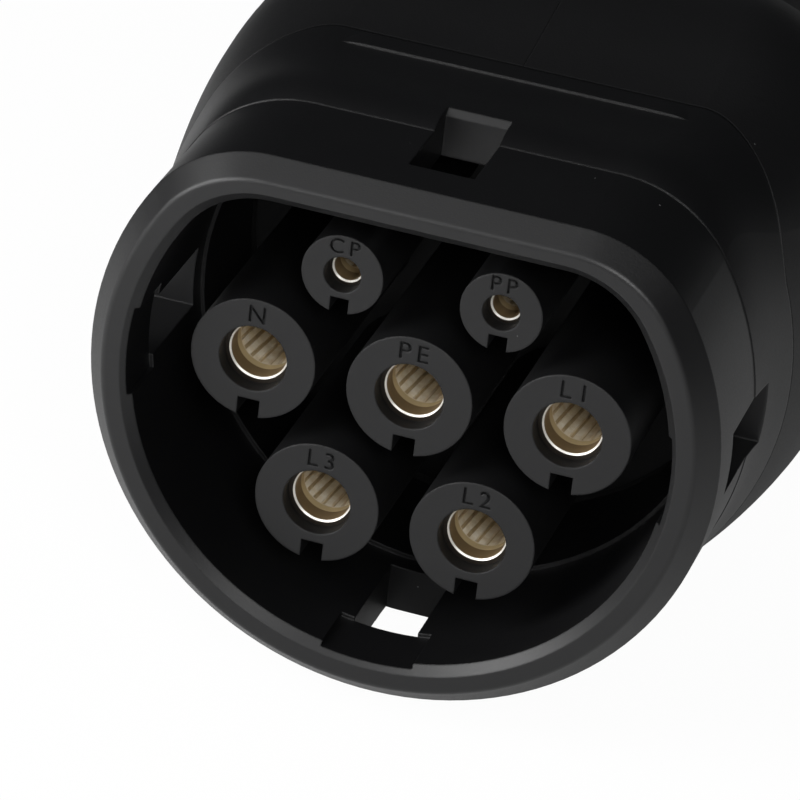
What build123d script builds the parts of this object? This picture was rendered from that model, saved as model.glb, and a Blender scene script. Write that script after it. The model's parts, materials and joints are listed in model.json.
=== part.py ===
from build123d import *
import os

os.makedirs("parts", exist_ok=True)

# Seven-contact vehicle charging plug.
# Frame: X to the right seen from the front, +Y back into the plug, +Z up.
# The origin is on the axis of the earth socket, in the plane of the contact tower fronts.

# ---- driving dimensions, mm ----
contact_pitch = 17.0
lower_row_drop = 14.8
pilot_x = contact_pitch / 2
pilot_z = 11.88

power_places = {
    "pe": (0.0, 0.0),
    "n": (-contact_pitch, 0.0),
    "l1": (contact_pitch, 0.0),
    "l2": (contact_pitch / 2, -lower_row_drop),
    "l3": (-contact_pitch / 2, -lower_row_drop),
}
pilot_places = {
    "cp": (-pilot_x, pilot_z),
    "pp": (pilot_x, pilot_z),
}

# Depths along Y, front to rear
rim_front = -5.3
bevel_end = -2.8
window_front = 2.2
window_rear = 14.8
flare_start = 11.0
ledge_depth = 17.0
seam_depth = 21.0
seal_front = 32.5
floor_front = 34.0
floor_rear = 38.0
shroud_rear = 40.0
retainer_rear = 43.0
cavity_front = 46.0
wall_inside = 160.0
wall_outside = 166.0
nut_front = 172.3
nut_rear = 192.0

# D-shaped mating face: radius about the earth contact, height of the flat, corner radius
mouth = (28.7, 20.4, 10.0)
outer_wall = (33.7, 24.75, 14.3)
bevel_radial = 2.1
bevel_round = 0.7
mouth_chamfer = 1.0
channel_depth = 0.45
channel_width = 10.0
rib_front = 28.0
rib_rear = 31.0
window_width = 7.0
window_edge = 0.7

ledge_width = 0.5
seal_seat = (31.0, 22.7, 12.3)

# Contact towers
tower_radius = 6.77
pilot_tower_radius = 4.38
tower_mouth = 3.7
pilot_tower_mouth = 2.0
key_width = 2.4
key_inner = 4.7
pilot_key_width = 2.0
pilot_key_inner = 2.65
key_rear = 30.0

# Turned brass sockets
socket_front = 2.0
socket_edge = 0.2
socket_radius = 4.1
socket_bore = 3.1
pilot_radius = 2.2
pilot_bore = 1.55
socket_flange = 5.2
pilot_flange = 3.2
flange_rear = 40.0
bore_rear = 31.0
tail_radius = 3.8
tail_bore = 2.5
tail_rear = 58.0
pilot_tail_radius = 1.9
pilot_tail_bore = 1.1
pilot_tail_rear = 54.0
crimp_depth = 9.0
band_front = 4.2
band_rear = 20.2
band_end_ring = 1.1
band_wall = 0.35
pilot_band_wall = 0.2
louvre_count = 18
pilot_louvre_count = 8
louvre_slot = 0.42
louvre_twist = 5.0

# Housing
rest_height = -36.0
housing_wall = 2.8
seam_gap = 0.15
seam_sweep_start = 12.0
seam_sweep_rear = 38.0
gland_height = -15.2
fit = 0.03

screw_shank = 1.5
screw_head = 3.2
screw_head_height = 2.4
screw_drive = 1.5
screw_seat = 6.0
screw_tip = -8.0
boss_radius = 5.0
housing_screw_places = [(54, 20), (54, -29), (98, 6), (98, -29.5), (147, 0), (147, -30.5)]

retainer_screw_places = [(0, 17), (-19, -12), (19, -12)]
retainer_screw_shank = 1.25
retainer_screw_head = 2.3
retainer_screw_height = 1.6
retainer_screw_depth = 3.0
retainer_screw_drive = 0.8
retainer_post = 3.0
tail_play = 0.3

clamp_depth = 132.0
clamp_length = 10.0
clamp_screw_reach = 13.2
clamp_screw_head_height = 1.8
clamp_screw_drive = 1.1
clamp_screw_tip = -8.0
clamp_seat = 3.0
clamp_post = 3.6
clamp_wall = 3.0
clamp_flange_end = 2.4
cable_radius = 8.0

# Cord gland
gland_place = (0.0, gland_height)
gland_bore = 8.8
gland_thread = 12.4
gland_hex = 16.0
gland_flange_rear = 172.0
gland_rear = 184.0
gland_seal_front = 175.0
gland_seal_rear = 187.0
seal_pocket = 10.2
locknut_front = 155.0
nut_thread = 11.5
nut_radius = 16.0
nut_shoulder = 184.0
nut_flutes = 12
nut_flute_radius = 1.5
nut_flute_offset = 0.6
nut_flute_middle = 176.0
nut_flute_length = 17.0

# Coding resistor
lead_radius = 0.35
lead_bend = 1.2
lead_rear = 64.0
pilot_lead_front = 47.0
earth_lead_front = 51.0
resistor_radius = 1.3
resistor_length = 6.5


# ---- shared planes and outlines ----
def section(depth):
    """Plane square to the plug's axis, with X to the right and Z up."""
    return Plane.XZ.offset(-depth)


def inset(outline, amount):
    """The same D outline moved inwards by an even amount."""
    radius, flat, corner = outline
    return (radius - amount, flat - amount, corner - amount)


def d_outline(depth, outline):
    """A circle cut off by a flat along its top, with round corners."""
    radius, flat, corner = outline
    with BuildSketch(section(depth)) as sketch:
        Circle(radius)
        with Locations((0, flat + radius)):
            Rectangle(2 * radius, 2 * radius, mode=Mode.SUBTRACT)
        fillet(sketch.vertices().group_by(Axis.Y)[-1], corner)
    return sketch.sketch


def barrel_outline(depth, radius, centre, top, bottom, top_corner, bottom_corner):
    """A circle cut off by a flat above and a flat below, with round corners."""
    with BuildSketch(section(depth)) as sketch:
        with Locations((0, centre)):
            Circle(radius)
        with Locations((0, top + radius), (0, bottom - radius)):
            Rectangle(4 * radius, 2 * radius, mode=Mode.SUBTRACT)
        fillet(sketch.vertices().group_by(Axis.Y)[-1], top_corner)
        fillet(sketch.vertices().group_by(Axis.Y)[0], bottom_corner)
    return sketch.sketch


def d_solid(front, rear, outline, mode=Mode.ADD):
    """A straight block of D section between two depths."""
    extrude(d_outline(rear, outline), amount=rear - front, mode=mode)


def turned(place, profile, mode=Mode.ADD):
    """A turned form about a contact axis, from (radius, depth) points."""
    x, z = place
    with BuildSketch(Plane((x, 0, z), x_dir=(1, 0, 0), z_dir=(0, 0, 1))) as sketch:
        with BuildLine():
            Polyline(*profile, close=True)
        make_face()
    revolve(sketch.sketch, axis=Axis((x, 0, z), (0, 1, 0)), mode=mode)


def tube(place, inner, outer, front, rear, mode=Mode.ADD):
    """A plain ring or, with no inner radius, a plain round bar."""
    turned(place, [(inner, front), (outer, front), (outer, rear), (inner, rear)], mode)


# Stations of the outer body: depth, radius, centre height, top, bottom, top and bottom corner
body_stations = [
    (flare_start, 33.8, 0, 24.82, -33.74, 14.3, 20),
    (seam_depth, 35.3, 0, 24.82, -34.7, 14.8, 18),
    (34, 37.6, 0, 24.95, -36.0, 15.5, 15),
    (46, 38.2, 0, 27.0, -36.3, 16, 15),
    (62, 36.0, -2, 25.5, -36.4, 16, 14),
    (86, 27.5, -8.5, 15, -35, 14, 12),
    (112, 22.5, -13, 8.5, -34, 12, 11),
    (140, 21.5, -15.2, 5.2, -35, 12, 10),
    (162.5, 22.5, -15.2, 5.5, -36.2, 12, 10),
    (wall_outside, 20.9, -15.2, 3.9, -34.6, 10.4, 8.4),
]


def body_loft(stations, shrink):
    """Smooth body through the stations, each made smaller by an even amount."""
    outlines = []
    for depth, radius, centre, top, bottom, top_corner, bottom_corner in stations:
        outlines.append(barrel_outline(
            depth, radius - shrink, centre, top - shrink, bottom + shrink,
            top_corner - shrink, bottom_corner - shrink))
    loft(outlines)


# Region behind the parting line of nose and housing, seen from the side
def behind_seam(gap, mode):
    side = Plane.YZ.offset(-60)
    with BuildSketch(side) as sketch:
        with BuildLine():
            lower = (seam_depth + gap, -60)
            turn = (seam_depth + gap, seam_sweep_start)
            upper = (seam_sweep_rear + gap, 26)
            Line(lower, turn)
            ThreePointArc(turn, (seam_depth + gap + 4.2, 20.2), upper)
            Polyline(upper, (seam_sweep_rear + gap, 60), (260, 60), (260, -60), lower)
        make_face()
    extrude(sketch.sketch, amount=120, mode=mode)


# ---- nose shroud: the outer sleeve of the mating face ----
with BuildPart() as full_body:
    body_loft(body_stations, 0)
    with Locations((0, 100, rest_height - 5)):
        Box(120, 240, 10, mode=Mode.SUBTRACT)

with BuildPart() as nose_shroud:
    # Flared root, up to the parting line
    add(full_body.part)
    behind_seam(0, Mode.SUBTRACT)
    # Straight sleeve with its bevelled rim
    d_solid(rim_front, flare_start + 0.5, outer_wall)
    rim_face = nose_shroud.faces().sort_by(Axis.Y)[0]
    chamfer(rim_face.edges(), bevel_radial, bevel_end - rim_front, reference=rim_face)
    fillet(nose_shroud.faces().sort_by(Axis.Y)[0].edges(), bevel_round)
    # Stepped spigot that the housing closes on, with its locating rib
    d_solid(flare_start, shroud_rear, inset(outer_wall, 1.1))
    d_solid(rib_front, rib_rear, inset(outer_wall, 0.1))
    # Mating cavity with a ledge in it, then the seat of the contact carrier and its seal
    d_solid(rim_front - 1, ledge_depth, mouth, Mode.SUBTRACT)
    d_solid(ledge_depth, shroud_rear + 1, inset(mouth, ledge_width), Mode.SUBTRACT)
    d_solid(seal_front, shroud_rear + 1, seal_seat, Mode.SUBTRACT)
    chamfer(nose_shroud.faces().sort_by(Axis.Y)[0].inner_wires()[0].edges(), mouth_chamfer)
    # Shallow guide channels from the rim to the side and bottom windows
    channel_radius = mouth[0] + channel_depth
    with BuildSketch(section(window_front)) as channels:
        Rectangle(2 * channel_radius, channel_width)
        Rectangle(channel_width, channel_radius, align=(Align.CENTER, Align.MAX))
        Circle(channel_radius, mode=Mode.INTERSECT)
    extrude(channels.sketch, amount=window_front - rim_front, mode=Mode.SUBTRACT)
    # Locking windows through the wall at the four quarters
    window_depth = (window_front + window_rear) / 2
    window_length = window_rear - window_front
    with Locations((0, window_depth, 0)):
        Box(100, window_length, window_width, mode=Mode.SUBTRACT)
        Box(window_width, window_length, 100, mode=Mode.SUBTRACT)
    # Eased rear edge of the upper window
    upper_edge = nose_shroud.edges().sort_by_distance((0, window_rear, outer_wall[1]))[0]
    chamfer(upper_edge, window_edge)
nose_shroud.part.label = "nose_shroud"
export_step(nose_shroud.part, "parts/nose_shroud.step")


# ---- contact carrier: floor and seven keyed towers in one moulding ----
def carrier_tower(place, radius, mode=Mode.ADD):
    """A round tower standing forward from the carrier floor."""
    x, z = place
    with BuildSketch(section(floor_front + 1)) as sketch:
        with Locations((x, z)):
            Circle(radius)
    extrude(sketch.sketch, amount=floor_front + 1, mode=mode)


def tower_cuts(place, mouth_radius, bore_radius, outer_radius, width, inner):
    """Stepped contact bore and the key slot under it."""
    x, z = place
    tube(place, 0, mouth_radius, -1, socket_front, Mode.SUBTRACT)
    tube(place, 0, bore_radius + fit, socket_front, floor_rear + 1, Mode.SUBTRACT)
    reach = outer_radius - inner + 1
    with Locations((x, key_rear / 2 - 0.5, z - inner - reach / 2)):
        Box(width, key_rear + 1, reach, mode=Mode.SUBTRACT)


with BuildPart() as contact_carrier:
    d_solid(floor_front, floor_rear, inset(seal_seat, fit))
    for place in power_places.values():
        carrier_tower(place, tower_radius)
    for place in pilot_places.values():
        carrier_tower(place, pilot_tower_radius)
    for place in power_places.values():
        tower_cuts(place, tower_mouth, socket_radius, tower_radius, key_width, key_inner)
    for place in pilot_places.values():
        tower_cuts(place, pilot_tower_mouth, pilot_radius, pilot_tower_radius,
                   pilot_key_width, pilot_key_inner)
    for place in retainer_screw_places:
        tube(place, 0, retainer_screw_shank, floor_rear - retainer_screw_depth - 0.2,
             floor_rear + 1, Mode.SUBTRACT)
contact_carrier.part.label = "contact_carrier"
export_step(contact_carrier.part, "parts/contact_carrier.step")

# ---- flat seal between carrier flange and shroud ----
with BuildPart() as carrier_seal:
    d_solid(seal_front, floor_front, inset(seal_seat, fit))
    d_solid(seal_front - 1, floor_front + 1, inset(mouth, ledge_width), Mode.SUBTRACT)
carrier_seal.part.label = "carrier_seal"
export_step(carrier_seal.part, "parts/carrier_seal.step")


# ---- brass sockets, each with its louvred spring band ----
def socket_solid(name, place, radius, bore, groove, flange, tail):
    """Turned socket: blind bore with a band groove, flange and hollow crimp tail."""
    tail_outside, cup, tail_end = tail
    cup_front = tail_end - crimp_depth
    with BuildPart() as socket:
        turned(place, [
            (0, bore_rear), (bore, bore_rear),
            (bore, band_rear), (groove, band_rear), (groove, band_front), (bore, band_front),
            (bore, socket_front), (radius, socket_front),
            (radius, floor_rear), (flange, floor_rear), (flange, flange_rear),
            (tail_outside, flange_rear), (tail_outside, tail_end),
            (cup, tail_end), (cup, cup_front), (0, cup_front)])
        front_edges = socket.edges().filter_by(GeomType.CIRCLE).group_by(Axis.Y)[0]
        chamfer(front_edges, socket_edge)
    socket.part.label = name
    export_step(socket.part, f"parts/{name}.step")


def band_solid(name, place, bore, groove, louvres):
    """Thin sleeve in the groove, cut into narrow louvres that lean a little."""
    x, z = place
    length = band_rear - band_front
    middle = (band_front + band_rear) / 2
    with BuildPart() as band:
        tube(place, bore, groove - fit, band_front + fit, band_rear - fit)
        axis_plane = Plane((x, middle, z), x_dir=(1, 0, 0), z_dir=(0, -1, 0))
        with Locations(axis_plane):
            with PolarLocations(bore, louvres, start_angle=7):
                Box(3, louvre_slot, length - 2 * band_end_ring,
                    rotation=(louvre_twist, 0, 0), mode=Mode.SUBTRACT)
    band.part.label = name
    export_step(band.part, f"parts/{name}.step")


for key, place in power_places.items():
    groove = socket_bore + band_wall
    socket_solid(f"socket_{key}", place, socket_radius, socket_bore, groove,
                 socket_flange, (tail_radius, tail_bore, tail_rear))
    band_solid(f"spring_band_{key}", place, socket_bore, groove, louvre_count)
for key, place in pilot_places.items():
    groove = pilot_bore + pilot_band_wall
    socket_solid(f"socket_{key}", place, pilot_radius, pilot_bore, groove,
                 pilot_flange, (pilot_tail_radius, pilot_tail_bore, pilot_tail_rear))
    band_solid(f"spring_band_{key}", place, pilot_bore, groove, pilot_louvre_count)

# ---- retainer plate that holds the sockets in the carrier ----
with BuildPart() as contact_retainer:
    d_solid(shroud_rear, retainer_rear, inset(outer_wall, 1.3))
    for place in retainer_screw_places:
        tube(place, 0, retainer_post, floor_rear, shroud_rear + 1)
    for place in power_places.values():
        tube(place, 0, tail_radius + tail_play, floor_rear, retainer_rear + 1, Mode.SUBTRACT)
    for place in pilot_places.values():
        tube(place, 0, pilot_tail_radius + tail_play, floor_rear, retainer_rear + 1, Mode.SUBTRACT)
    for place in retainer_screw_places:
        tube(place, 0, retainer_screw_shank + 0.1, floor_rear - 1, retainer_rear + 1, Mode.SUBTRACT)
contact_retainer.part.label = "contact_retainer"
export_step(contact_retainer.part, "parts/contact_retainer.step")

with BuildPart() as retainer_screws:
    screw_front = floor_rear - retainer_screw_depth
    head_rear = retainer_rear + retainer_screw_height
    for place in retainer_screw_places:
        tube(place, 0, retainer_screw_shank, screw_front, retainer_rear)
        tube(place, 0, retainer_screw_head, retainer_rear, head_rear)
        tube(place, 0, retainer_screw_drive, head_rear - retainer_screw_height / 2, head_rear + 1,
             Mode.SUBTRACT)
retainer_screws.part.label = "retainer_screws"
export_step(retainer_screws.part, "parts/retainer_screws.step")


# ---- housing: two half shells that close on the spigot ----
def cross_bar(place, radius, left, right, mode=Mode.ADD):
    """A round bar across the plug, from one X to another."""
    y, z = place
    with BuildSketch(Plane.YZ.offset(left)) as sketch:
        with Locations((y, z)):
            Circle(radius)
    extrude(sketch.sketch, amount=right - left, mode=mode)


def cavity_stations():
    """Stations of the space inside, from behind the retainer to the rear wall."""
    front = (cavity_front, 38.2, 0, 26.9, -36.3, 16, 15)
    rear = (wall_inside, 22.3, -15.2, 5.4, -36.0, 12, 10)
    return [front] + body_stations[4:-2] + [rear]


with BuildPart() as cavity:
    body_loft(cavity_stations(), housing_wall)

with BuildPart() as cavity_with_posts:
    add(cavity.part)
    for place in housing_screw_places:
        cross_bar(place, boss_radius, -60, 60, Mode.SUBTRACT)
    for side in (-clamp_screw_reach, clamp_screw_reach):
        cross_bar((clamp_depth, gland_height + side), clamp_post, -60, 0, Mode.SUBTRACT)


def housing_half(keep):
    """One half of the hollow housing, cut at the middle plane."""
    with BuildPart() as half:
        add(full_body.part)
        behind_seam(seam_gap, Mode.INTERSECT)
        split(bisect_by=Plane.YZ, keep=keep)
        add(cavity_with_posts.part, mode=Mode.SUBTRACT)
        # Pocket for the spigot and the retainer, with the groove for the rib
        d_solid(rim_front, retainer_rear, inset(outer_wall, 1.0), Mode.SUBTRACT)
        d_solid(rib_front - 0.1, rib_rear + 0.1, inset(outer_wall, -0.1), Mode.SUBTRACT)
        # Opening from the pocket into the space behind
        d_solid(retainer_rear - 1, cavity_front + 1, inset(outer_wall, 4.2), Mode.SUBTRACT)
        # Hole for the gland
        tube(gland_place, 0, gland_thread + 0.1, wall_inside - 1, wall_outside + 1, Mode.SUBTRACT)
    return half.part


with BuildPart() as housing_left:
    add(housing_half(Keep.BOTTOM))
    for place in housing_screw_places:
        cross_bar(place, screw_shank, screw_tip - 1, 0, Mode.SUBTRACT)
    for side in (-clamp_screw_reach, clamp_screw_reach):
        cross_bar((clamp_depth, gland_height + side), retainer_screw_shank, clamp_screw_tip - 1, 0,
                  Mode.SUBTRACT)
housing_left.part.label = "housing_left"
export_step(housing_left.part, "parts/housing_left.step")

with BuildPart() as housing_right:
    add(housing_half(Keep.TOP))
    for place in housing_screw_places:
        cross_bar(place, screw_shank + 0.2, 0, 60, Mode.SUBTRACT)
        cross_bar(place, screw_head + 0.3, screw_seat, 60, Mode.SUBTRACT)
housing_right.part.label = "housing_right"
export_step(housing_right.part, "parts/housing_right.step")


def cross_screw(place, shank, tip, seat, head, head_height, drive):
    """A pan-head screw across the plug, its head to the right, with a hexagon recess."""
    y, z = place
    cross_bar(place, shank, tip, seat)
    cross_bar(place, head, seat, seat + head_height)
    with BuildSketch(Plane.YZ.offset(seat + head_height)) as recess:
        with Locations((y, z)):
            RegularPolygon(drive, 6)
    extrude(recess.sketch, amount=-head_height * 0.6, mode=Mode.SUBTRACT)


with BuildPart() as housing_screws:
    for place in housing_screw_places:
        cross_screw(place, screw_shank, screw_tip, screw_seat, screw_head, screw_head_height, screw_drive)
housing_screws.part.label = "housing_screws"
export_step(housing_screws.part, "parts/housing_screws.step")

# ---- clamp saddle across the cable space, screwed to two posts of the left shell ----
with BuildPart() as cable_clamp:
    front_plane = section(clamp_depth + clamp_length / 2)
    with BuildSketch(front_plane) as saddle:
        with Locations((0, gland_height)):
            Circle(cable_radius + clamp_wall)
        with Locations((clamp_seat / 2, gland_height)):
            Rectangle(clamp_seat, 2 * (clamp_screw_reach + clamp_flange_end))
        with Locations((0, gland_height)):
            Circle(cable_radius, mode=Mode.SUBTRACT)
            Rectangle(4 * cable_radius, 6 * cable_radius, align=(Align.MAX, Align.CENTER),
                      mode=Mode.SUBTRACT)
    extrude(saddle.sketch, amount=clamp_length)
    for side in (-clamp_screw_reach, clamp_screw_reach):
        cross_bar((clamp_depth, gland_height + side), retainer_screw_shank + 0.1, -1, clamp_seat + 1,
                  Mode.SUBTRACT)
cable_clamp.part.label = "cable_clamp"
export_step(cable_clamp.part, "parts/cable_clamp.step")

with BuildPart() as clamp_screws:
    for side in (-clamp_screw_reach, clamp_screw_reach):
        cross_screw((clamp_depth, gland_height + side), retainer_screw_shank, clamp_screw_tip, clamp_seat,
                    retainer_screw_head, clamp_screw_head_height, clamp_screw_drive)
clamp_screws.part.label = "clamp_screws"
export_step(clamp_screws.part, "parts/clamp_screws.step")

# ---- cable gland in the rear wall ----
with BuildPart() as gland_body:
    tube(gland_place, gland_bore, gland_thread, locknut_front - 1, wall_outside + 1)
    tube(gland_place, gland_bore, nut_thread, wall_outside, gland_rear)
    with BuildSketch(section(gland_flange_rear)) as flange:
        with Locations(gland_place):
            RegularPolygon(gland_hex, 6)
            Circle(gland_bore, mode=Mode.SUBTRACT)
    extrude(flange.sketch, amount=gland_flange_rear - wall_outside)
    tube(gland_place, 0, seal_pocket, gland_seal_front, gland_rear + 1, Mode.SUBTRACT)
gland_body.part.label = "gland_body"
export_step(gland_body.part, "parts/gland_body.step")

with BuildPart() as gland_locknut:
    with BuildSketch(section(wall_inside)) as nut:
        with Locations(gland_place):
            RegularPolygon(gland_hex, 6)
            Circle(gland_thread + fit, mode=Mode.SUBTRACT)
    extrude(nut.sketch, amount=wall_inside - locknut_front)
gland_locknut.part.label = "gland_locknut"
export_step(gland_locknut.part, "parts/gland_locknut.step")

with BuildPart() as gland_seal:
    turned(gland_place, [
        (cable_radius, gland_seal_front), (seal_pocket - 0.1, gland_seal_front),
        (seal_pocket - 0.1, gland_rear + 1), (cable_radius + 1, gland_seal_rear),
        (cable_radius, gland_seal_rear)])
gland_seal.part.label = "gland_seal"
export_step(gland_seal.part, "parts/gland_seal.step")

with BuildPart() as gland_nut:
    cone_rear = gland_seal_rear + 0.2
    turned(gland_place, [
        (cable_radius + 0.4, nut_rear), (cable_radius + 0.4, cone_rear + 0.8),
        (cable_radius + 1.2, cone_rear), (nut_thread, gland_rear + 1), (nut_thread, nut_front),
        (nut_radius - 0.5, nut_front), (nut_radius, nut_front + 0.5), (nut_radius, nut_shoulder),
        (nut_radius - 1.5, nut_rear - 2.5), (nut_radius - 4, nut_rear)])
    # Grip flutes round the nut
    with Locations(Plane((0, nut_flute_middle, gland_height), x_dir=(1, 0, 0), z_dir=(0, -1, 0))):
        with PolarLocations(nut_radius + nut_flute_offset, nut_flutes):
            Cylinder(nut_flute_radius, nut_flute_length, mode=Mode.SUBTRACT)
gland_nut.part.label = "gland_nut"
export_step(gland_nut.part, "parts/gland_nut.step")

# ---- coding resistor between proximity pilot and earth ----
with BuildPart() as pp_resistor:
    pilot_height = pilot_z - pilot_tail_bore + lead_radius
    earth_height = tail_bore - lead_radius
    pilot_bend = Vector(pilot_x, lead_rear, pilot_height)
    earth_bend = Vector(0, lead_rear, earth_height)
    with BuildLine():
        FilletPolyline(
            (pilot_x, pilot_lead_front, pilot_height), pilot_bend,
            earth_bend, (0, earth_lead_front, earth_height), radius=lead_bend)
    with BuildSketch(Plane((pilot_x, pilot_lead_front, pilot_height), x_dir=(1, 0, 0), z_dir=(0, 1, 0))):
        Circle(lead_radius)
    sweep()
    with Locations(Plane((pilot_bend + earth_bend) / 2, z_dir=pilot_bend - earth_bend)):
        Cylinder(resistor_radius, resistor_length)
pp_resistor.part.label = "pp_resistor"
export_step(pp_resistor.part, "parts/pp_resistor.step")
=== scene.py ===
import json
import math

import bmesh
import bpy
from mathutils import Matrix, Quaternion, Vector


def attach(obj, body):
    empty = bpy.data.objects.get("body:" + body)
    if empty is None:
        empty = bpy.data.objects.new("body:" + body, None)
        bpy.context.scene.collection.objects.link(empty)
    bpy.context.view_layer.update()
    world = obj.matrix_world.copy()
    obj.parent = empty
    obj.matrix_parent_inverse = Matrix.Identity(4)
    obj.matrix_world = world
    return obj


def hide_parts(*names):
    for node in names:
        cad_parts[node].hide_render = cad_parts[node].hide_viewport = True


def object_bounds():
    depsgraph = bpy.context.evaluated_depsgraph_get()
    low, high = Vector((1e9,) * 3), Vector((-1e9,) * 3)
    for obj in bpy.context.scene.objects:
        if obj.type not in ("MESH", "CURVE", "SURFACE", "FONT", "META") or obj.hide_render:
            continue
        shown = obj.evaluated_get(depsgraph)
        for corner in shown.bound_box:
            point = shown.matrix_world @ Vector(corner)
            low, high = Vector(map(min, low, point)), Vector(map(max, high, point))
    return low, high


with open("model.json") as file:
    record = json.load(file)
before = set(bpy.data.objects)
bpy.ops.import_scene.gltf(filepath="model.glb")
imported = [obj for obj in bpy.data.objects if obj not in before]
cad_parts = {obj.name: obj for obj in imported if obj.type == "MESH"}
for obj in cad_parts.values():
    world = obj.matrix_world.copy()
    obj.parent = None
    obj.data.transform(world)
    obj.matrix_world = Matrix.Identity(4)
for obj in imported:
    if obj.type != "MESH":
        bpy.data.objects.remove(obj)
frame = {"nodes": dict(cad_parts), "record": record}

mm = 0.001
cadLow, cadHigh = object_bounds()
nodes = frame["nodes"]
print("frame loaded:", len(nodes), "nodes")

contactPlaces = {  # x and z of each contact axis, mm
    "PE": (0.0, 0.0),
    "N": (-17.0, 0.0),
    "L1": (17.0, 0.0),
    "L2": (8.5, -14.8),
    "L3": (-8.5, -14.8),
    "CP": (-8.5, 11.88),
    "PP": (8.5, 11.88),
}


# ---- shared helpers ----
def linearColour(hexText):
    channels = [int(hexText[i:i + 2], 16) / 255 for i in (1, 3, 5)]
    linear = [c / 12.92 if c <= 0.04045 else ((c + 0.055) / 1.055) ** 2.4 for c in channels]
    return (*linear, 1.0)


def perMetre(sizeMm):
    return 1 / (sizeMm * mm)  # pattern scale whose feature is about this size


def addNode(tree, kind, settings=None, links=None):
    node = tree.nodes.new(kind)
    for key, value in (settings or {}).items():
        if isinstance(key, int) or key in node.inputs:
            node.inputs[key].default_value = value
        else:
            setattr(node, key, value)
    for key, source in (links or {}).items():
        tree.links.new(source, node.inputs[key])
    return node


def newMaterial(name):
    material = bpy.data.materials.new(name)
    material.use_nodes = True
    tree = material.node_tree
    tree.nodes.clear()
    output = addNode(tree, "ShaderNodeOutputMaterial")
    coords = addNode(tree, "ShaderNodeTexCoord")
    return material, tree, output, coords.outputs["Object"]


def setRamp(ramp, stops):
    elements = ramp.color_ramp.elements
    while len(elements) < len(stops):
        elements.new(0.5)
    for element, (place, colour) in zip(elements, stops):
        element.position = place
        element.color = colour


def grey(value):
    return (value, value, value, 1.0)


# ---- materials ----
def mouldedPlastic(name, look):
    # Glass-filled nylon from a spark-eroded mould: satin black, a fine even grain, a little dust
    material, tree, output, place = newMaterial(name)
    drift = addNode(tree, "ShaderNodeTexNoise",
                    {"Scale": perMetre(look["driftMm"]), "Detail": 3.0, "Roughness": 0.6}, {"Vector": place})
    grain = addNode(tree, "ShaderNodeTexNoise",
                    {"Scale": perMetre(look["grainMm"]), "Detail": 2.0, "Roughness": 0.5}, {"Vector": place})
    base = addNode(tree, "ShaderNodeMix",
                   {"data_type": "RGBA", 6: linearColour(look["deep"]), 7: linearColour(look["light"])},
                   {0: drift.outputs["Fac"]})
    # Dust: a few tiny pale specks, one in some of the cells
    cells = addNode(tree, "ShaderNodeTexVoronoi",
                    {"Scale": perMetre(look["dustCellMm"]), "Randomness": 1.0}, {"Vector": place})
    speck = addNode(tree, "ShaderNodeValToRGB", {}, {"Fac": cells.outputs["Distance"]})
    setRamp(speck, [(0.0, grey(1.0)), (look["dustSize"], grey(0.0))])
    chance = addNode(tree, "ShaderNodeSeparateColor", {}, {"Color": cells.outputs["Color"]})
    chosen = addNode(tree, "ShaderNodeMath", {"operation": "GREATER_THAN", 1: 1 - look["dustShare"]},
                     {0: chance.outputs["Red"]})
    dust = addNode(tree, "ShaderNodeMath", {"operation": "MULTIPLY"},
                   {0: speck.outputs["Color"], 1: chosen.outputs[0]})
    dusty = addNode(tree, "ShaderNodeMix", {"data_type": "RGBA", 7: linearColour("#8f8f90")},
                    {0: dust.outputs[0], 6: base.outputs[2]})
    rough = addNode(tree, "ShaderNodeMapRange",
                    {"To Min": look["roughness"] - 0.05, "To Max": look["roughness"] + 0.07},
                    {"Value": grain.outputs["Fac"]})
    soft = addNode(tree, "ShaderNodeBevel", {"samples": 4, "Radius": look["edgeMm"] * mm})
    bump = addNode(tree, "ShaderNodeBump", {"Strength": look["grainStrength"], "Distance": 0.03 * mm},
                   {"Height": grain.outputs["Fac"], "Normal": soft.outputs["Normal"]})
    shader = addNode(tree, "ShaderNodeBsdfPrincipled",
                     {"IOR": 1.5, "Specular IOR Level": look["specular"]},
                     {"Base Color": dusty.outputs[2], "Roughness": rough.outputs[0],
                      "Normal": bump.outputs["Normal"]})
    tree.links.new(shader.outputs[0], output.inputs["Surface"])
    return material


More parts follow.
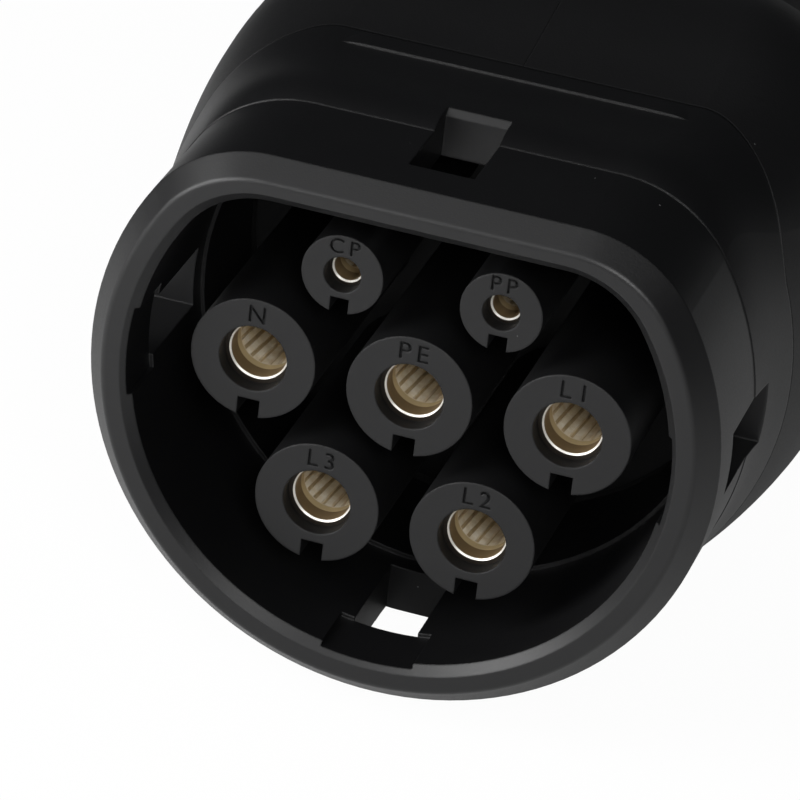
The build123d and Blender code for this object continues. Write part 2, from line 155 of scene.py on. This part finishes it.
def turnedBrass(name, look):
    # Free-cutting brass, turned: warm champagne, fine tool rings along the bore, soft highlights
    material, tree, output, place = newMaterial(name)
    rings = addNode(tree, "ShaderNodeTexWave",
                    {"wave_type": "BANDS", "bands_direction": "Y", "wave_profile": "SIN",
                     "Scale": perMetre(look["feedMm"]) / 20, "Distortion": 0.4, "Detail": 1.0},
                    {"Vector": place})
    cloud = addNode(tree, "ShaderNodeTexNoise",
                    {"Scale": perMetre(look["cloudMm"]), "Detail": 4.0, "Roughness": 0.6}, {"Vector": place})
    tint = addNode(tree, "ShaderNodeValToRGB", {}, {"Fac": cloud.outputs["Fac"]})
    setRamp(tint, [(0.35, linearColour(look["deep"])), (0.65, linearColour(look["light"]))])
    axes = addNode(tree, "ShaderNodeSeparateXYZ", {}, {"Vector": place})
    # Near the mouth the colour is painted light and shade, not the brass's own: painted shade on the front face, a
    # painted highlight round the bore, painted shade on the land
    inside = addNode(tree, "ShaderNodeMapRange",
                     {"From Min": (look["mouthMm"] - 0.1) * mm, "From Max": (look["mouthMm"] + 0.1) * mm},
                     {"Value": axes.outputs["Y"]})
    depth = addNode(tree, "ShaderNodeMath", {"operation": "MULTIPLY", 1: 0.1 / mm}, {0: axes.outputs["Y"]})
    front = addNode(tree, "ShaderNodeValToRGB", {}, {"Fac": depth.outputs[0]})
    front.color_ramp.interpolation = "CONSTANT"
    setRamp(front, [(0.0, linearColour(look["face"])), (0.1 * (look["faceMm"] + 0.03), linearColour(look["edge"])),
                    (0.1 * (look["faceMm"] + look["edgeMm"]), linearColour(look["mouth"]))])
    colour = addNode(tree, "ShaderNodeMix", {"data_type": "RGBA"},
                     {0: inside.outputs[0], 6: front.outputs["Color"], 7: tint.outputs["Color"]})
    rough = addNode(tree, "ShaderNodeMapRange",
                    {"To Min": look["roughness"] - 0.05, "To Max": look["roughness"] + 0.08},
                    {"Value": cloud.outputs["Fac"]})
    bump = addNode(tree, "ShaderNodeBump", {"Strength": look["ringStrength"], "Distance": 0.01 * mm},
                   {"Height": rings.outputs["Fac"]})
    shader = addNode(tree, "ShaderNodeBsdfPrincipled", {"Metallic": look["metallic"]},
                     {"Base Color": colour.outputs[2], "Roughness": rough.outputs[0],
                      "Normal": bump.outputs["Normal"]})
    tree.links.new(shader.outputs[0], output.inputs["Surface"])
    return material


def sealRubber(name):
    # Moulded nitrile rubber: dull soft black with a faint bloom
    material, tree, output, place = newMaterial(name)
    bloom = addNode(tree, "ShaderNodeTexNoise",
                    {"Scale": perMetre(3.0), "Detail": 4.0}, {"Vector": place})
    tint = addNode(tree, "ShaderNodeValToRGB", {}, {"Fac": bloom.outputs["Fac"]})
    setRamp(tint, [(0.3, linearColour("#151515")), (0.8, linearColour("#242424"))])
    grain = addNode(tree, "ShaderNodeTexNoise", {"Scale": perMetre(0.2)}, {"Vector": place})
    bump = addNode(tree, "ShaderNodeBump", {"Strength": 0.2, "Distance": 0.02 * mm},
                   {"Height": grain.outputs["Fac"]})
    shader = addNode(tree, "ShaderNodeBsdfPrincipled", {"Roughness": 0.82, "IOR": 1.5},
                     {"Base Color": tint.outputs["Color"], "Normal": bump.outputs["Normal"]})
    tree.links.new(shader.outputs[0], output.inputs["Surface"])
    return material


def platedSteel(name):
    # Zinc-plated screws: pale bluish metal with cloudy passivation
    material, tree, output, place = newMaterial(name)
    cloud = addNode(tree, "ShaderNodeTexNoise",
                    {"Scale": perMetre(0.9), "Detail": 4.0}, {"Vector": place})
    tint = addNode(tree, "ShaderNodeValToRGB", {}, {"Fac": cloud.outputs["Fac"]})
    setRamp(tint, [(0.3, linearColour("#8e9196")), (0.7, linearColour("#b9bcc0"))])
    rough = addNode(tree, "ShaderNodeMapRange", {"To Min": 0.3, "To Max": 0.45},
                    {"Value": cloud.outputs["Fac"]})
    shader = addNode(tree, "ShaderNodeBsdfPrincipled", {"Metallic": 1.0},
                     {"Base Color": tint.outputs["Color"], "Roughness": rough.outputs[0]})
    tree.links.new(shader.outputs[0], output.inputs["Surface"])
    return material


def resistorLacquer(name):
    # Lacquered metal-film resistor: glossy pale blue, slightly uneven
    material, tree, output, place = newMaterial(name)
    cloud = addNode(tree, "ShaderNodeTexNoise", {"Scale": perMetre(1.5)}, {"Vector": place})
    tint = addNode(tree, "ShaderNodeValToRGB", {}, {"Fac": cloud.outputs["Fac"]})
    setRamp(tint, [(0.3, linearColour("#5f8fa3")), (0.7, linearColour("#79a8ba"))])
    shader = addNode(tree, "ShaderNodeBsdfPrincipled", {"Roughness": 0.3, "IOR": 1.5},
                     {"Base Color": tint.outputs["Color"]})
    tree.links.new(shader.outputs[0], output.inputs["Surface"])
    return material


shroudLook = {
    "deep": "#070708",  # darker patches
    "light": "#0d0d0e",  # lighter patches
    "roughness": 0.4,
    "specular": 0.42,
    "edgeMm": 0.3,  # how far the eye sees a moulded edge rounded
    "grainMm": 0.22,
    "grainStrength": 0.3,
    "driftMm": 9.0,
    "dustCellMm": 2.4,
    "dustSize": 0.05,
    "dustShare": 0.12,
}
carrierLook = dict(shroudLook, roughness=0.48, specular=0.38, grainMm=0.18, dustCellMm=1.5, dustShare=0.2)
gripLook = dict(shroudLook, grainMm=0.3, grainStrength=0.5, roughness=0.5)
glandLook = dict(shroudLook, roughness=0.4)
socketLook = {
    "mouth": "#8f7a5a",  # painted shade: darker land at the mouth
    "deep": "#c9b48c",
    "light": "#ddcba6",
    "mouthMm": 4.2,  # depth of the land
    "face": "#2b2620",  # painted shade on the front face
    "faceMm": 2.0,  # depth of the front face
    "edge": "#fbf7ee",  # painted highlight on the edge round the bore
    "edgeMm": 0.22,
    "roughness": 0.36,
    "metallic": 0.55,
    "feedMm": 0.12,  # tool feed per turn
    "cloudMm": 1.2,
    "ringStrength": 0.25,
}
# the band's mouth colour is painted shade on its front end ring
bandLook = dict(socketLook, mouth="#cbb78d", deep="#ede0c4", light="#fdf6e6", mouthMm=5.2, roughness=0.45,
                metallic=0.35, ringStrength=0.1)

slotMaterials = {
    "shroud_plastic": mouldedPlastic("mouldedNylonNose", shroudLook),
    "carrier_plastic": mouldedPlastic("mouldedNylonCarrier", carrierLook),
    "housing_plastic": mouldedPlastic("mouldedNylonGrip", gripLook),
    "gland_plastic": mouldedPlastic("mouldedNylonGland", glandLook),
    "seal_rubber": sealRubber("mouldedNitrileSeal"),
    "socket_brass": turnedBrass("turnedBrassSocket", socketLook),
    "band_brass": turnedBrass("rolledBrassBand", bandLook),
    "screw_steel": platedSteel("zincPlatedScrew"),
    "resistor_coat": resistorLacquer("lacqueredResistor"),
}
nodeSlots = {part["node"]: part["material_slot"] for part in frame["record"]["subparts"]}
for name, node in nodes.items():
    material = slotMaterials[nodeSlots[name]]
    if not node.data.materials:
        node.data.materials.append(material)
    for index in range(len(node.data.materials)):
        node.data.materials[index] = material
print("materials made:", len(slotMaterials))


# ---- contact carrier with its sunk contact marks ----
markLook = {
    "heightMm": 1.9,
    "pilotHeightMm": 1.65,
    "reachMm": 5.1,  # from the contact axis up to the middle of the mark
    "pilotReachMm": 3.15,
    "depthMm": 0.35,
    "letterSpacing": 1.4,
}


def markSolid(text, place, height, reach):
    curve = bpy.data.curves.new("mark" + text, "FONT")
    curve.body = text
    curve.align_x = "CENTER"
    curve.align_y = "CENTER"
    curve.space_character = markLook["letterSpacing"]
    curve.extrude = 1.0
    shape = bpy.data.objects.new("mark" + text, curve)
    bpy.context.scene.collection.objects.link(shape)
    bpy.context.view_layer.update()
    mesh = bpy.data.meshes.new_from_object(shape)
    bpy.data.objects.remove(shape)
    solid = bmesh.new()
    solid.from_mesh(mesh)
    bpy.data.meshes.remove(mesh)
    bmesh.ops.remove_doubles(solid, verts=solid.verts, dist=1e-5)
    low = min(v.co.y for v in solid.verts)
    high = max(v.co.y for v in solid.verts)
    left = min(v.co.x for v in solid.verts)
    right = max(v.co.x for v in solid.verts)
    scale = height * mm / (high - low)
    x, z = place
    for v in solid.verts:
        flatX = (v.co.x - (left + right) / 2) * scale
        flatZ = (v.co.y - (low + high) / 2) * scale
        v.co = Vector((x * mm + flatX, -v.co.z * markLook["depthMm"] * mm, (z + reach) * mm + flatZ))
    bmesh.ops.recalc_face_normals(solid, faces=solid.faces)
    return solid


def mergedCopy(node, name):
    mesh = node.data.copy()
    mesh.name = name
    shape = bmesh.new()
    shape.from_mesh(mesh)
    bmesh.ops.remove_doubles(shape, verts=shape.verts, dist=1e-7)
    shape.to_mesh(mesh)
    shape.free()
    for layer in [a for a in mesh.attributes if a.name == "custom_normal"]:
        mesh.attributes.remove(layer)  # the CAD's own normals don't fit once corners are merged
    copy = bpy.data.objects.new(name, mesh)
    bpy.context.scene.collection.objects.link(copy)
    return copy


carrier = mergedCopy(nodes["contact_carrier"], "carrierWithMarks")
allMarks = bmesh.new()
for text, place in contactPlaces.items():
    isPilot = text in ("CP", "PP")
    height = markLook["pilotHeightMm"] if isPilot else markLook["heightMm"]
    reach = markLook["pilotReachMm"] if isPilot else markLook["reachMm"]
    solid = markSolid(text, place, height, reach)
    mesh = bpy.data.meshes.new("mark")
    solid.to_mesh(mesh)
    solid.free()
    allMarks.from_mesh(mesh)
    bpy.data.meshes.remove(mesh)
markMesh = bpy.data.meshes.new("marks")
allMarks.to_mesh(markMesh)
allMarks.free()
markObject = bpy.data.objects.new("marks", markMesh)
bpy.context.scene.collection.objects.link(markObject)
cut = carrier.modifiers.new("marks", "BOOLEAN")
cut.operation = "DIFFERENCE"
cut.solver = "EXACT"
cut.object = markObject
bpy.context.view_layer.update()
cutMesh = bpy.data.meshes.new_from_object(carrier.evaluated_get(bpy.context.evaluated_depsgraph_get()))
carrier.modifiers.clear()
carrier.data = cutMesh
bpy.data.objects.remove(markObject)
cutMesh.shade_smooth()
cutMesh.set_sharp_from_angle(angle=math.radians(28))
cutMesh.materials.clear()
cutMesh.materials.append(slotMaterials["carrier_plastic"])
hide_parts("contact_carrier")
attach(carrier, "root")
print("carrier marked:", len(cutMesh.polygons), "faces")


# ---- floor and light ----
stageLook = {
    "floorReach": 6.0,  # metres
    "floorColour": "#f0f0f0",
    "cameraWhite": 0.97,  # share of plain white that the camera sees
    "mirrorWhite": 0.05,  # share of plain white that glossy things see
    "worldColour": "#bfc3c8",
    "worldStrength": 0.05,
}


def paleFloor():
    material, tree, output, place = newMaterial("paleStudioFloor")
    rays = addNode(tree, "ShaderNodeLightPath")
    direct = addNode(tree, "ShaderNodeMath", {"operation": "MULTIPLY", 1: stageLook["cameraWhite"]},
                     {0: rays.outputs["Is Camera Ray"]})
    mirrored = addNode(tree, "ShaderNodeMath", {"operation": "MULTIPLY", 1: stageLook["mirrorWhite"]},
                       {0: rays.outputs["Is Glossy Ray"]})
    share = addNode(tree, "ShaderNodeMath", {"operation": "MAXIMUM"},
                    {0: direct.outputs[0], 1: mirrored.outputs[0]})
    matte = addNode(tree, "ShaderNodeBsdfDiffuse", {"Color": linearColour(stageLook["floorColour"])})
    white = addNode(tree, "ShaderNodeEmission", {"Color": grey(1.0), "Strength": 1.0})
    mix = addNode(tree, "ShaderNodeMixShader", {},
                  {0: share.outputs[0], 1: matte.outputs[0], 2: white.outputs[0]})
    tree.links.new(mix.outputs[0], output.inputs["Surface"])
    return material


floorMesh = bpy.data.meshes.new("floor")
floorShape = bmesh.new()
bmesh.ops.create_grid(floorShape, x_segments=1, y_segments=1, size=stageLook["floorReach"])
bmesh.ops.translate(floorShape, verts=floorShape.verts, vec=(0, 0, cadLow.z))
floorShape.to_mesh(floorMesh)
floorShape.free()
floorMesh.materials.append(paleFloor())
floor = bpy.data.objects.new("floor", floorMesh)
bpy.context.scene.collection.objects.link(floor)

world = bpy.data.worlds.new("studio")
bpy.context.scene.world = world
world.use_nodes = True
world.node_tree.nodes["Background"].inputs["Color"].default_value = linearColour(stageLook["worldColour"])
world.node_tree.nodes["Background"].inputs["Strength"].default_value = stageLook["worldStrength"]

lamps = {  # direction from the plug, distance and size in metres, power in watts
    "keyLeft": {"towards": (-0.72, -0.55, 0.42), "distance": 0.45, "size": 0.3, "power": 2.6},
    "overFront": {"towards": (-0.22, -0.47, 0.86), "distance": 0.8, "size": 0.36, "power": 0.9},
    "besideCamera": {"towards": (0.30, -0.78, 0.55), "distance": 0.9, "size": 0.3, "power": 4.4},
}
for name, lamp in lamps.items():
    light = bpy.data.lights.new(name, "AREA")
    light.shape = "SQUARE"
    light.size = lamp["size"]
    light.energy = lamp["power"]
    holder = bpy.data.objects.new(name, light)
    towards = Vector(lamp["towards"]).normalized()
    holder.location = towards * lamp["distance"]
    holder.rotation_euler = (-towards).to_track_quat("-Z", "Y").to_euler()
    bpy.context.scene.collection.objects.link(holder)

# ---- camera ----
cameraLook = {
    "azimuth": 14.39,  # degrees round to the right of straight ahead
    "elevation": 27.90,
    "roll": 6.86,
    "distanceMm": 542.8,
    "aimMm": (-0.8, -0.4, -0.4),
    "lens": 238.3,
}
azimuth = math.radians(cameraLook["azimuth"])
elevation = math.radians(cameraLook["elevation"])
back = Vector((math.sin(azimuth) * math.cos(elevation),
               -math.cos(azimuth) * math.cos(elevation),
               math.sin(elevation)))
camera = bpy.data.objects.new("camera", bpy.data.cameras.new("camera"))
camera.data.lens = cameraLook["lens"]
camera.data.sensor_width = 36
camera.data.clip_start = 0.01
camera.data.clip_end = 50
camera.location = Vector(cameraLook["aimMm"]) * mm + back * cameraLook["distanceMm"] * mm
camera.rotation_mode = "QUATERNION"
roll = Quaternion((0, 0, 1), math.radians(cameraLook["roll"]))
camera.rotation_quaternion = (-back).to_track_quat("-Z", "Y") @ roll
bpy.context.scene.collection.objects.link(camera)
bpy.context.scene.camera = camera
bpy.context.scene.view_settings.view_transform = "Standard"

print("scene ready")
